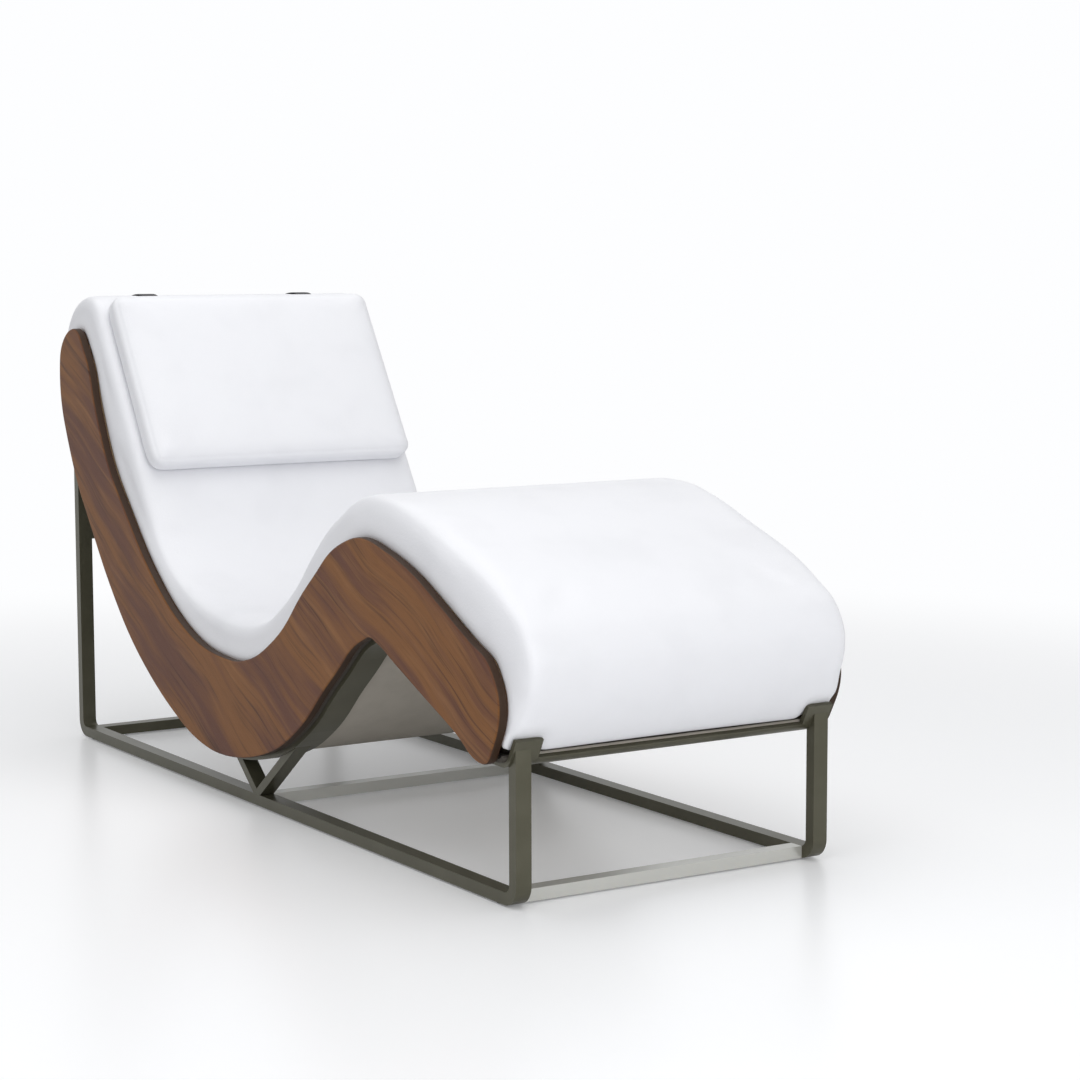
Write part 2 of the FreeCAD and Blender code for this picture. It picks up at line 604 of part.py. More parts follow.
# Check every piece, then write one file for each
doc.recompute()
for item in doc.Objects:
    if "Invalid" in item.State or "Error" in item.State:
        raise RuntimeError(f"{item.Label} failed")
os.makedirs("parts", exist_ok=True)
for node in made:
    if node.Shape.isNull() or not node.Shape.isValid():
        raise RuntimeError(f"{node.Label} has no valid shape")
    node.Shape.exportStep(f"parts/{node.Label}.step")
    box = node.Shape.optimalBoundingBox(False)
    print(f"{node.Label}: {len(node.Shape.Solids)} solids, {node.Shape.Volume / 1000:.1f} cm3, "
          f"Y {box.YMin:.1f}..{box.YMax:.1f}, Z {box.ZMin:.1f}..{box.ZMax:.1f}")
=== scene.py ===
# %% [markdown]
# # A spa lounger, dressed
# The lounger's construction arrives as a fixed frame of solid pieces, each one riding on a body
# that can move. This lesson gives those pieces their finish, and remakes the soft ones, which a
# solid can't show: the leather pad, the headrest and the webbing straps. Nothing of the frame is
# moved, so every new piece is worked out in the frame's own coordinates: X across the lounger,
# Y from the foot end to the head end, Z up, in metres.

# %% Load the frame
import json
import math

import bpy
import numpy as np
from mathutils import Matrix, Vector
from mathutils.bvhtree import BVHTree


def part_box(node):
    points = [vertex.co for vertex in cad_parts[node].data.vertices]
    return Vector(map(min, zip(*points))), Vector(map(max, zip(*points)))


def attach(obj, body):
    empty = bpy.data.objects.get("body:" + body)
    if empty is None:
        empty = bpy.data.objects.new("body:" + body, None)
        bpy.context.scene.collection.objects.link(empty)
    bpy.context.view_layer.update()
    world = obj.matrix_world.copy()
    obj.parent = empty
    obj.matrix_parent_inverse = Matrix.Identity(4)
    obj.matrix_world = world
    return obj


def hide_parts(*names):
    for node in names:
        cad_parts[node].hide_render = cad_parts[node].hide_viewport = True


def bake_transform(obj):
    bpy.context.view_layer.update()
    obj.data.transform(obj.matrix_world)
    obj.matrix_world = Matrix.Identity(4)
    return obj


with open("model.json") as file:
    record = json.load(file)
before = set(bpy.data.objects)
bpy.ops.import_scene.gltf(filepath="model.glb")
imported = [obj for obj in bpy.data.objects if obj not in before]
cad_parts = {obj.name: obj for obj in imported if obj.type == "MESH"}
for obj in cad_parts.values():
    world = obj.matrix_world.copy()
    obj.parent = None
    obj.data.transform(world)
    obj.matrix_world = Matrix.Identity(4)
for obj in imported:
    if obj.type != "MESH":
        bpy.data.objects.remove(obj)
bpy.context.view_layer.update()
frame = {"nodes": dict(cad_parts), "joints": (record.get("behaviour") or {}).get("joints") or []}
scene = bpy.context.scene
scene.view_settings.view_transform = "Standard"


# %% [markdown]
# ## The camera
# The view was solved from the straight edges of the metal frame: the camera stands a metre above
# the floor at the foot end, turned 32 degrees from the lounger's length, with a long lens. The
# rotation of a camera starts by looking straight down, so 90 degrees less the tilt brings its
# gaze up to the lounger.

# %% Camera
CAMERA_PLACE = (-2.300, -4.077, 0.990)
CAMERA_TURN = -32.42
CAMERA_TILT = 6.36
CAMERA_ROLL = 0.13
LENS = 85.2

camera = bpy.data.objects.new("camera", bpy.data.cameras.new("camera"))
camera.data.lens = LENS
camera.location = CAMERA_PLACE
camera.rotation_euler = (math.radians(90 - CAMERA_TILT), math.radians(CAMERA_ROLL),
                         math.radians(CAMERA_TURN))
scene.collection.objects.link(camera)
scene.camera = camera


# %% [markdown]
# ## Boxes of cells
# Every soft piece here starts as the outside of a box that is cut into small cells. Its points are
# kept as whole arrays of shares, from 0 to 1 along each side of the box, so one formula can round
# the box, thicken it, and bend it along a line.

# %% Grid helpers
def box_cells(counts):
    """The outside of a box cut into cells: its points as shares of the three sides, and quads."""
    counts = np.array(counts)
    corners = []
    for axis in range(3):
        beside, above = (axis + 1) % 3, (axis + 2) % 3
        across, up = np.meshgrid(np.arange(counts[beside]), np.arange(counts[above]))
        for end in (0, counts[axis]):
            turn = [(0, 0), (1, 0), (1, 1), (0, 1)][::1 if end else -1]
            quad = np.zeros((across.size, 4, 3), int)
            for corner, (right, over) in enumerate(turn):
                quad[:, corner, axis] = end
                quad[:, corner, beside] = across.ravel() + right
                quad[:, corner, above] = up.ravel() + over
            corners.append(quad)
    cells, place = np.unique(np.concatenate(corners).reshape(-1, 3), axis=0, return_inverse=True)
    return cells / counts, place.reshape(-1, 4)


def rounded(points, low, high, radius):
    """Rounds a box's edges: each point moves to one radius from the nearest place of a core that
    is smaller than the box by the radius on every side. The radius may differ in each direction
    and at each point."""
    core = np.clip(points, low + radius, high - radius)
    away = (np.clip(points, low, high) - core) / radius
    return core + radius * away / np.linalg.norm(away, axis=1)[:, None]


def length_of(line):
    """The length of a line through points."""
    return float(np.sum(np.hypot(*np.diff(line, axis=0).T)))


def read_at(places, steps, line):
    """A side line's points, or its ways outwards, at places between its steps."""
    return np.stack([np.interp(places, steps, line[:, axis]) for axis in range(2)], axis=1)


def bent(points, line, run, outward=None):
    """Bends a straight block, made of (across, along, depth) points, so that it follows a side
    line: depth counts inwards from the line, and along is a distance on it. Outward ways may be
    given where the line's own ones don't serve."""
    steps = np.linspace(0, run, len(line))
    ways = read_at(points[:, 1], steps, outward_of(line) if outward is None else outward)
    spots = read_at(points[:, 1], steps, line) - ways * points[:, 2:]
    return np.column_stack([points[:, 0], spots])


def enclosed_volume(points, quads):
    """Six times the volume inside, with a minus sign where the faces point inwards: the sum of
    the triple products of each quad's first corner and its two diagonals' ends."""
    first, second, third, fourth = (points[quads[:, corner]] for corner in range(4))
    return float(np.sum(first * (np.cross(second, third) + np.cross(third, fourth))))


def new_piece(name, points, quads, finish):
    """A smooth mesh object from arrays, with its faces turned outwards."""
    if enclosed_volume(points, quads) < 0:
        quads = quads[:, ::-1]
    mesh = bpy.data.meshes.new(name)
    mesh.from_pydata(points, [], quads)
    mesh.polygons.foreach_set("use_smooth", np.ones(len(mesh.polygons), bool))
    mesh.update()
    piece = bpy.data.objects.new(name, mesh)
    scene.collection.objects.link(piece)
    mesh.materials.append(finish)
    return piece


def soften(piece):
    """Adds a live subdivision, the same in the view and in the render."""
    smoother = piece.modifiers.new("smoother", "SUBSURF")
    smoother.levels = smoother.render_levels = 1


def move_points(piece, points):
    """Writes new places into a piece's mesh."""
    piece.data.vertices.foreach_set("co", np.ascontiguousarray(points, np.float32).ravel())
    piece.data.update()


# %% [markdown]
# ## Leather over foam
# Foam pushes a leather cover out evenly from inside, and the seams and the board behind hold it
# back. Moving points by hand would show this poorly, so a cloth simulation does it: air pressure
# stands for the foam, and the points that are glued or sewn down are pinned. Air alone would blow
# a cushion up to a balloon. So each point keeps the way it went, and the length of it is bent
# down to a few millimetres: the farthest length times the hyperbolic tangent of their quotient.

# %% Cloth under air pressure
CLOTH_FRAMES = 20
LEATHER_CLOTH = {"quality": 6, "mass": 0.4, "tension_stiffness": 12, "compression_stiffness": 12,
                 "shear_stiffness": 6, "bending_stiffness": 0.8, "use_pressure": True}
NO_LENGTH = 1e-9


def swell(piece, held, pressure, farthest):
    """Blows the piece up as a closed cloth, with the held points pinned, and returns how far each
    point moved, at most the farthest length."""
    mesh = piece.data
    before = np.empty(len(mesh.vertices) * 3, np.float32)
    mesh.vertices.foreach_get("co", before)
    group = piece.vertex_groups.new(name="held")
    group.add(np.flatnonzero(held).tolist(), 1.0, "REPLACE")
    cloth = piece.modifiers.new("cloth", "CLOTH")
    for setting, value in LEATHER_CLOTH.items():
        setattr(cloth.settings, setting, value)
    cloth.settings.uniform_pressure_force = pressure
    cloth.settings.vertex_group_mass = group.name
    cloth.settings.effector_weights.gravity = 0
    cloth.point_cache.frame_start = 1
    cloth.point_cache.frame_end = CLOTH_FRAMES
    for frame_number in range(1, CLOTH_FRAMES + 1):
        scene.frame_set(frame_number)
    swollen = piece.evaluated_get(bpy.context.evaluated_depsgraph_get())
    after = np.empty_like(before)
    swollen.data.vertices.foreach_get("co", after)
    piece.modifiers.remove(cloth)
    piece.vertex_groups.remove(group)
    scene.frame_set(1)
    move = (after - before).reshape(-1, 3).astype(float)
    length = np.linalg.norm(move, axis=1)
    print(piece.name, "swelled by up to", round(float(length.max()), 4), "m")
    kept = farthest * np.tanh(length / farthest)
    return move * (kept / np.maximum(length, NO_LENGTH))[:, None]


# %% [markdown]
# ## Shader sums
# A finish is easier to read as arithmetic than as a web of nodes. A Wire wraps one socket, and
# adding, multiplying or comparing wires adds the Math nodes that do it. A Finish wraps one
# material: its node method takes a node's type, its settings and what its sockets get.

# %% Wires and finishes
class Wire:
    """The output of a shader node, as a value that can stand in a sum."""

    def __init__(self, tree, socket):
        self.tree = tree
        self.socket = socket

    def math(self, operation, *values):
        """A Math node with this operation on the values, each a wire or a number."""
        node = self.tree.nodes.new("ShaderNodeMath")
        node.operation = operation
        for socket, value in zip(node.inputs, values):
            if isinstance(value, Wire):
                self.tree.links.new(value.socket, socket)
            else:
                socket.default_value = value
        return Wire(self.tree, node.outputs[0])

    def __add__(self, other):
        return self.math("ADD", self, other)

    def __sub__(self, other):
        return self.math("SUBTRACT", self, other)

    def __rsub__(self, other):
        return self.math("SUBTRACT", other, self)

    def __mul__(self, other):
        return self.math("MULTIPLY", self, other)

    def __abs__(self):
        return self.math("ABSOLUTE", self)

    __radd__ = __add__
    __rmul__ = __mul__

    def wave(self):
        """The sine of the value."""
        return self.math("SINE", self)

    def from_to(self, low, high):
        """0 below low, 1 above high and a smooth rise between them."""
        node = self.tree.nodes.new("ShaderNodeMapRange")
        node.interpolation_type = "SMOOTHSTEP"
        self.tree.links.new(self.socket, node.inputs["Value"])
        node.inputs["From Min"].default_value = low
        node.inputs["From Max"].default_value = high
        return Wire(self.tree, node.outputs["Result"])


class Finish:
    """A material with one Principled shader. Sockets that are the same all over the surface are
    plain numbers, and the rest come from wires."""

    def __init__(self, name, color, roughness, metallic=0.0, specular=0.5):
        self.material = bpy.data.materials.new(name)
        self.material.use_nodes = True
        self.tree = self.material.node_tree
        self.shader = self.tree.nodes["Principled BSDF"]
        self.shader.inputs["Base Color"].default_value = (*color, 1)
        self.shader.inputs["Roughness"].default_value = roughness
        self.shader.inputs["Metallic"].default_value = metallic
        self.shader.inputs["Specular IOR Level"].default_value = specular
        self.place = self.node("ShaderNodeTexCoord", output="Object")
        self.facing = self.node("ShaderNodeTexCoord", output="Normal")

    def node(self, kind, settings=(), values=(), output=0):
        """A node of this kind: its settings first, then its sockets, by name or by number."""
        node = self.tree.nodes.new(kind)
        for setting, value in dict(settings).items():
            setattr(node, setting, value)
        for socket, value in dict(values).items():
            if isinstance(value, Wire):
                self.tree.links.new(value.socket, node.inputs[socket])
            else:
                node.inputs[socket].default_value = value
        return Wire(self.tree, node.outputs[output])

    def split(self, vector):
        """The three parts of a vector wire."""
        return [self.node("ShaderNodeSeparateXYZ", values={"Vector": vector}, output=axis)
                for axis in range(3)]

    def point(self, x, y, z):
        """A vector wire from three values."""
        return self.node("ShaderNodeCombineXYZ", values={0: x, 1: y, 2: z})

    def noise(self, vector, scale=1.0, detail=2.0, roughness=0.5):
        """Smooth random values around 0.5, with scale waves to a metre."""
        return self.node("ShaderNodeTexNoise", values={
            "Vector": vector, "Scale": scale, "Detail": detail, "Roughness": roughness})

    def cells(self, vector, scale):
        """Distance to the middle of the nearest of many random cells, smoothed between them."""
        return self.node("ShaderNodeTexVoronoi", {"feature": "SMOOTH_F1"},
                         {"Vector": vector, "Scale": scale}, "Distance")

    def colours(self, low, high, share):
        """Colour low where share is 0, high where it is 1."""
        mix = self.tree.nodes.new("ShaderNodeMix")
        mix.data_type = "RGBA"
        for socket, value in ((mix.inputs["Factor"], share), (mix.inputs[6], low),
                              (mix.inputs[7], high)):
            if isinstance(value, Wire):
                self.tree.links.new(value.socket, socket)
            else:
                socket.default_value = (*value, 1)
        return Wire(self.tree, mix.outputs[2])

    def set(self, socket, wire):
        """Feeds a wire into one of the shader's sockets."""
        self.tree.links.new(wire.socket, self.shader.inputs[socket])

    def bump(self, height, depth):
        """Raises the surface by height times depth, in metres."""
        self.set("Normal", self.node("ShaderNodeBump", values={
            "Height": height, "Distance": depth, "Strength": 1.0}))


def dress(nodes, finish):
    """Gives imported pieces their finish."""
    for name in nodes:
        mesh = frame["nodes"][name].data
        mesh.materials.clear()
        mesh.materials.append(finish.material)


# %% [markdown]
# ## Leather
# The cover is a smooth, almost white leather. Its grain is a net of tiny rounded cells a
# millimetre across with fine creases between them, softened by broader, very shallow unevenness
# where the hide stretches over the foam. The sheen is satin, a little rougher in the creases.

# %% Leather finish
LEATHER = (0.835, 0.84, 0.87)
LEATHER_SHADE = (0.79, 0.795, 0.825)
GRAIN_SCALE = 900
CREASE_SCALE = 210
STRETCH_SCALE = 9
GRAIN_DEPTH = 0.00012
LEATHER_SMOOTH, CREASE_DULL = 0.37, 0.10

leather = Finish("white_leather", LEATHER, LEATHER_SMOOTH, specular=0.45)
grain = leather.cells(leather.place, GRAIN_SCALE).from_to(0.05, 0.62)
creases = leather.noise(leather.place, CREASE_SCALE, 4.0, 0.6).from_to(0.30, 0.72)
stretch = leather.noise(leather.place, STRETCH_SCALE)
leather.bump(grain * 0.55 + creases * 0.7 + stretch * 3.0, GRAIN_DEPTH)
leather.set("Base Color", leather.colours(LEATHER, LEATHER_SHADE,
                                          stretch.from_to(0.45, 0.75) * 0.5 + grain * 0.16))
leather.set("Roughness", creases * CREASE_DULL + LEATHER_SMOOTH)


# %% [markdown]
# ## Walnut
# The side panels are cut from straight-grained walnut. Its fibres don't follow the wave: they run
# across every panel in one direction, rising towards the head end. So the finish turns the side
# view by that angle, which gives one coordinate along the fibres and one across them. Slow noise
# bends the fibres a little. Broad bands change between orange and purple brown, and thinner dark
# streaks and pores lie over them. Each of these is noise that is stretched along the fibres: its
# scales give how often it changes in a metre along them, across them and through the board.

# %% Walnut finish
FIBRE_RISE = math.radians(29)
WALNUT_ORANGE = (0.205, 0.084, 0.024)
WALNUT_PURPLE = (0.118, 0.045, 0.025)
WALNUT_PALE = (0.262, 0.120, 0.042)
WALNUT_DARK = (0.046, 0.018, 0.009)
WALNUT_RIM_PAINTED_SHADE = (0.036, 0.018, 0.009)
FIBRE_BEND = 0.11
FIBRE_DEPTH = 0.00010
DRIFT_SCALES = (2.2, 3.0, 1)
BAND_SCALES = (1.5, 15, 3)
PALE_SCALES = (2.6, 34, 5)
STREAK_SCALES = (3.4, 120, 20)
PORE_SCALES = (26, 1400, 200)
WALNUT_SMOOTH, PORE_DULL = 0.42, 0.16

walnut = Finish("walnut", WALNUT_ORANGE, WALNUT_SMOOTH, specular=0.2)
through, along_y, up_z = walnut.split(walnut.place)
along = along_y * math.cos(FIBRE_RISE) + up_z * math.sin(FIBRE_RISE)
beside = up_z * math.cos(FIBRE_RISE) - along_y * math.sin(FIBRE_RISE)


def fibres(scales, detail, roughness=0.5):
    """Noise on the fibres' own coordinates, each of which is multiplied by its scale."""
    place = [wire * scale for wire, scale in zip((along, beside, through), scales)]
    return walnut.noise(walnut.point(*place), 1.0, detail, roughness)


beside = beside + (fibres(DRIFT_SCALES, 2.0) - 0.5) * FIBRE_BEND
bands = fibres(BAND_SCALES, 3.0, 0.55)
pale_bands = fibres(PALE_SCALES, 3.0, 0.6)
streaks = fibres(STREAK_SCALES, 4.0, 0.65)
pores = fibres(PORE_SCALES, 2.0, 0.7)
tone = walnut.colours(WALNUT_ORANGE, WALNUT_PURPLE, bands.from_to(0.40, 0.60))
tone = walnut.colours(tone, WALNUT_PALE, pale_bands.from_to(0.52, 0.75) * 0.7)
tone = walnut.colours(tone, WALNUT_DARK, streaks.from_to(0.50, 0.76) * 0.8)
tone = walnut.colours(tone, WALNUT_DARK, pores.from_to(0.45, 0.8) * 0.3)
# The rims, where the normal turns away from X, take a near-black colour: painted shade for the edge
# faces and the gaps along the panel edges.
side_face = abs(walnut.split(walnut.facing)[0]).from_to(0.35, 0.92)
walnut.set("Base Color", walnut.colours(WALNUT_RIM_PAINTED_SHADE, tone, side_face))
walnut.set("Roughness", pores * PORE_DULL + WALNUT_SMOOTH)
walnut.bump(pores + streaks * 0.6, FIBRE_DEPTH)
dress(["walnut_panel_left", "walnut_panel_right"], walnut)


# %% [markdown]
# ## Metal, cloth and board
# The frame and the strips have an olive bronze lacquer with a fine orange peel, a touch duller
# where dust settles. The two floor bars towards the foot end are given a pale colour, a painted
# reflection of the bright floor in front of them. The lining under the shell is a tight plain
# weave, paler behind the back; towards the foot end painted shade makes it darker and browner, and
# beside the panels painted shade makes it almost black. The hidden boards show their plies, and the
# little parts are plastic or turned steel.

# %% Frame metal
BRONZE = (0.078, 0.074, 0.048)
BRONZE_WORN = (0.108, 0.103, 0.072)
PALE_BAR_PAINTED_REFLECTION = (0.58, 0.58, 0.545)
BRONZE_SMOOTH, PALE_SMOOTH, CLOUD_DULL = 0.28, 0.22, 0.16
CLOUD_SCALE = 7
PEEL_SCALE = 420
PEEL_DEPTH = 0.00006


def lacquer(name, colour, metallic, specular, smooth):
    """A lacquered metal with a fine orange peel, duller in soft clouds, and those clouds."""
    finish = Finish(name, colour, smooth, metallic, specular)
    clouds = finish.noise(finish.place, CLOUD_SCALE, 3.0, 0.6)
    finish.set("Roughness", clouds * CLOUD_DULL + smooth)
    finish.bump(finish.noise(finish.place, PEEL_SCALE), PEEL_DEPTH)
    return finish, clouds


metal, dust = lacquer("frame_metal", BRONZE, 0.35, 0.4, BRONZE_SMOOTH)
metal.set("Base Color", metal.colours(BRONZE, BRONZE_WORN, dust.from_to(0.4, 0.75) * 0.7))
frame_metal = [name for name in frame["nodes"]
               if name.startswith(("side_loop", "rear_floor", "post_bar", "front_brace",
                                   "rear_brace", "shell_strip", "nose_strip"))]
dress(frame_metal, metal)
# The two floor bars towards the foot end get a pale colour: a painted reflection of the bright
# floor in front of them.
dress(["front_floor_bar", "middle_floor_bar"],
      lacquer("pale_metal", PALE_BAR_PAINTED_REFLECTION, 0.4, 0.5, PALE_SMOOTH)[0])

# %% Lining cloth
THREAD_PITCH = 0.0016
LINING_PAINTED_SHADE = (0.47, 0.435, 0.38)
LINING_BACK = (0.66, 0.65, 0.62)
LINING_SLUB = (0.38, 0.35, 0.30)
BACK_FROM, BACK_TO = 0.10, 0.70
LINING_GAP_PAINTED_SHADE = (0.060, 0.052, 0.042)
GAP_SHADE_FROM, GAP_SHADE_TO = 0.288, 0.296
SLUB_SCALE = 26
LINING_DEPTH = 0.00025
lining = Finish("lining_cloth", LINING_PAINTED_SHADE, 0.85)
warp_x, warp_y, warp_z = lining.split(lining.place)
thread_x, thread_y, thread_z = (
    (wire * (2 * math.pi / THREAD_PITCH)).wave() for wire in (warp_x, warp_y, warp_z))
weave = thread_x * thread_y + thread_z * 0.5
slub = lining.noise(lining.place, SLUB_SCALE, 3.0, 0.6)
# Towards the foot end the cloth turns darker and browner: painted shade under the knee, fading out
# towards the back between the two given Y values.
tone_with_painted_shade = lining.colours(LINING_PAINTED_SHADE, LINING_BACK, warp_y.from_to(BACK_FROM, BACK_TO))
tone_with_painted_shade = lining.colours(tone_with_painted_shade, LINING_SLUB, slub.from_to(0.35, 0.75) * 0.35 + weave * 0.1)
# Beside the panels the cloth turns near black: painted shade in the gaps between the lining and the
# walnut.
lining.set("Base Color", lining.colours(tone_with_painted_shade, LINING_GAP_PAINTED_SHADE,
                                        abs(warp_x).from_to(GAP_SHADE_FROM, GAP_SHADE_TO)))
lining.bump(weave * 0.5 + slub, LINING_DEPTH)
dress(["underside_panel"], lining)

# %% Boards and small parts
BIRCH, BIRCH_GLUE = (0.63, 0.48, 0.31), (0.42, 0.28, 0.16)
PLY_SCALE = 160
BOARD_DEPTH = 0.00015
BLACK_PLASTIC = (0.025, 0.025, 0.026)
STEEL = (0.34, 0.34, 0.35)
BLACKED_STEEL = (0.045, 0.042, 0.036)
LATHE_SCALE = 2600

board = Finish("birch_ply", BIRCH, 0.6)
ply_x, ply_y, ply_z = board.split(board.place)
ply_fibre = board.noise(board.point(ply_x * 6, ply_y * PLY_SCALE, ply_z * PLY_SCALE),
                        1.0, 3.0, 0.6)
ply_glue = board.noise(board.place, 18)
board.set("Base Color", board.colours(BIRCH, BIRCH_GLUE,
                                      ply_fibre.from_to(0.4, 0.8) * 0.6 + ply_glue * 0.15))
board.bump(ply_fibre, BOARD_DEPTH)
dress([name for name in frame["nodes"]
       if name.endswith(("_rib", "_rail", "_board")) or name == "rib_dowels"], board)

plastic = Finish("glide_plastic", BLACK_PLASTIC, 0.4)
moulding = plastic.noise(plastic.place, 700)
steel = Finish("turned_steel", STEEL, 0.22, metallic=1.0)
turn_x, turn_y, turn_z = steel.split(steel.place)
turning = steel.noise(steel.point(turn_x * LATHE_SCALE, turn_y * 8, turn_z * 8))
blacked = Finish("blackened_steel", BLACKED_STEEL, 0.3, metallic=0.8)
blacking = blacked.noise(blacked.place, 300, 3.0)
for finish, pattern, smooth, dull, depth, nodes in (
        (plastic, moulding, 0.4, 0.2, 0.00005, ["floor_glides"]),
        (steel, turning, 0.22, 0.2, 0.00002, ["weight_core"]),
        (blacked, blacking, 0.3, 0.25, 0.00004, ["strip_screws", "weight_end_discs"])):
    finish.set("Roughness", pattern * dull + smooth)
    finish.bump(pattern, depth)
    dress(nodes, finish)

# %% Webbing
RIB_PITCH = 0.0021
PICK_PITCH = 0.0013
WEB_BLACK, WEB_LIT = (0.009, 0.009, 0.011), (0.030, 0.030, 0.034)
WEB_DEPTH = 0.00018
webbing = Finish("black_webbing", WEB_BLACK, 0.62)
web_x, web_y, web_z = webbing.split(webbing.place)
ribs = (web_x * (2 * math.pi / RIB_PITCH)).wave()
picks = ((web_y + web_z) * (2 * math.pi / PICK_PITCH) + ribs * 1.3).wave()
webbing.set("Base Color", webbing.colours(WEB_BLACK, WEB_LIT,
                                          (ribs * 0.5 + picks * 0.5).from_to(-0.6, 1.0)))
webbing.bump(ribs + picks * 0.6, WEB_DEPTH)
dress(["weight_sleeve"], webbing)


# %% [markdown]
# ## The side line of the pad
# Seen from the side, the pad is one smooth line: round the nose, over the knee, down into the
# seat, straight up the back and over the head roll. The line is set by a few marks with headings.
# Between two marks runs a cubic whose end speeds are the chord over the squared cosine of a
# quarter of the turn, which makes it almost a circle's arc.

# %% Marks of the side line
MIDDLE = 0.8563
NOSE = (-0.049, 0.375)
KNEE = (0.440, 0.600)
SEAT = (0.945, 0.331)
LUMBAR = (1.3181, 0.4825)
SHOULDER = (1.563, 0.875)
CREST = (1.625, 0.911)
ROLL = (1.747, 0.800)
HEM = (1.747, 0.745)
LIP = (-0.010, 0.2658)
TUCK = (0.0116, 0.2372)
LIP_HEADING = 126
SHIN_SHARES = [(0.043, 0.235), (0.147, 0.422), (0.507, 0.773), (0.806, 0.969)]
THIGH_SHARES = [(0.208, 0.115), (0.335, 0.249), (0.444, 0.42), (0.558, 0.632), (0.687, 0.814),
                (0.814, 0.944)]
slide_axis = next(joint["axis"] for joint in frame["joints"] if joint["child"] == "headrest")
slope = -np.array(slide_axis[1:], float)
slope /= np.linalg.norm(slope)
SLOPE_HEADING = math.degrees(math.atan2(slope[1], slope[0]))


def between(first, last, shares):
    """Marks placed by their shares of the step from one mark to the next, with no heading."""
    return [((first[0] + (last[0] - first[0]) * y, first[1] + (last[1] - first[1]) * z), None)
            for y, z in shares]


pad_marks = ([(TUCK, LIP_HEADING), (LIP, LIP_HEADING), (NOSE, 90)]
             + between(NOSE, KNEE, SHIN_SHARES) + [(KNEE, 0)]
             + between(KNEE, SEAT, THIGH_SHARES) + [(SEAT, 0)]
             + [(LUMBAR, SLOPE_HEADING), (SHOULDER, SLOPE_HEADING), (CREST, 0), (ROLL, -90),
                (HEM, -90)])


# %% A smooth line through marks
CUBIC_POINTS = 60


def side_line(marks, step):
    """Points every step metres along the smooth line through the marks. A mark without a heading
    takes that of the circle through it and its neighbours: the two chords' directions, each
    weighted with the other chord's length."""
    spots = np.array([spot for spot, heading in marks])
    spots[:, 0] -= MIDDLE
    chords = np.diff(spots, axis=0)
    lengths = np.hypot(*chords.T)
    ways = chords / lengths[:, None]
    headings = np.zeros_like(spots)
    headings[1:-1] = ways[:-1] * lengths[1:, None] + ways[1:] * lengths[:-1, None]
    for index, (spot, heading) in enumerate(marks):
        if heading is not None:
            headings[index] = math.cos(math.radians(heading)), math.sin(math.radians(heading))
    headings /= np.hypot(*headings.T)[:, None]
    turns = np.arccos(np.clip(np.sum(headings[:-1] * headings[1:], axis=1), -1, 1))
    speeds = (lengths / np.cos(turns / 4) ** 2)[:, None, None]
    t = np.linspace(0, 1, CUBIC_POINTS, endpoint=False)[None, :, None]
    starts, ends = spots[:-1, None], spots[1:, None]
    fine = ((2 * t ** 3 - 3 * t ** 2 + 1) * starts + (t ** 3 - 2 * t ** 2 + t) * speeds
            * headings[:-1, None] + (3 * t ** 2 - 2 * t ** 3) * ends
            + (t ** 3 - t ** 2) * speeds * headings[1:, None])
    fine = np.vstack([fine.reshape(-1, 2), spots[-1:]])
    travel = np.concatenate([[0], np.cumsum(np.hypot(*np.diff(fine, axis=0).T))])
    even = np.linspace(0, travel[-1], int(round(travel[-1] / step)) + 1)
    return read_at(even, travel, fine)


def outward_of(line):
    """Unit normals to the left of a side line's heading."""
    heading = np.gradient(line, axis=0)
    heading /= np.hypot(*heading.T)[:, None]
    return np.stack([-heading[:, 1], heading[:, 0]], axis=1)


PAD_STEP = 0.0135
pad_line = side_line(pad_marks, PAD_STEP)
pad_outward = outward_of(pad_line)
pad_rows = len(pad_line)
pad_run = length_of(pad_line)
print("pad's side line is", round(pad_run, 3), "m long in", pad_rows, "rows")


def run_at(mark):
    """Distance along the side line to where it passes nearest to a mark."""
    gap = np.hypot(pad_line[:, 0] - mark[0] + MIDDLE, pad_line[:, 1] - mark[1])
    return np.argmin(gap) * pad_run / (pad_rows - 1)


# %% [markdown]
# ## The pad's body
# The pad is a rounded block, carried along that line. Its thickness isn't the same everywhere, so
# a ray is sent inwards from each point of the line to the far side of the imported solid. The block
# starts a little inside the leather's real place, less where the pad is thin, and swells out
# under pressure, which rounds its edges as foam does. Its underside is pinned to the deck. Under
# the nose the cover tucks in, and behind the two metal strips it stands back by their thickness.

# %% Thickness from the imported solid
pad_solid = frame["nodes"]["seat_pad"]
pad_tree = BVHTree.FromPolygons([v.co for v in pad_solid.data.vertices],
                                [tuple(p.vertices) for p in pad_solid.data.polygons])
RAY_START = 0.012
THICKEST = 0.12


def thickness_at(spot, outward):
    """Distance from the side line inwards to the solid's far side."""
    inward = Vector((0, -outward[0], -outward[1]))
    start = Vector((0, spot[0], spot[1])) + inward * RAY_START
    distance = pad_tree.ray_cast(start, inward)[3]
    return np.nan if distance is None else distance + RAY_START


raw = np.array([thickness_at(spot, outward) for spot, outward in zip(pad_line, pad_outward)])
known = np.isfinite(raw) & (raw < THICKEST)
raw = np.interp(np.arange(pad_rows), np.flatnonzero(known), raw[known])
thickness = np.convolve(np.pad(raw, 1, "edge"), np.ones(3) / 3, "valid")
print("pad is", round(float(thickness.min()), 4), "to", round(float(thickness.max()), 4), "m thick")

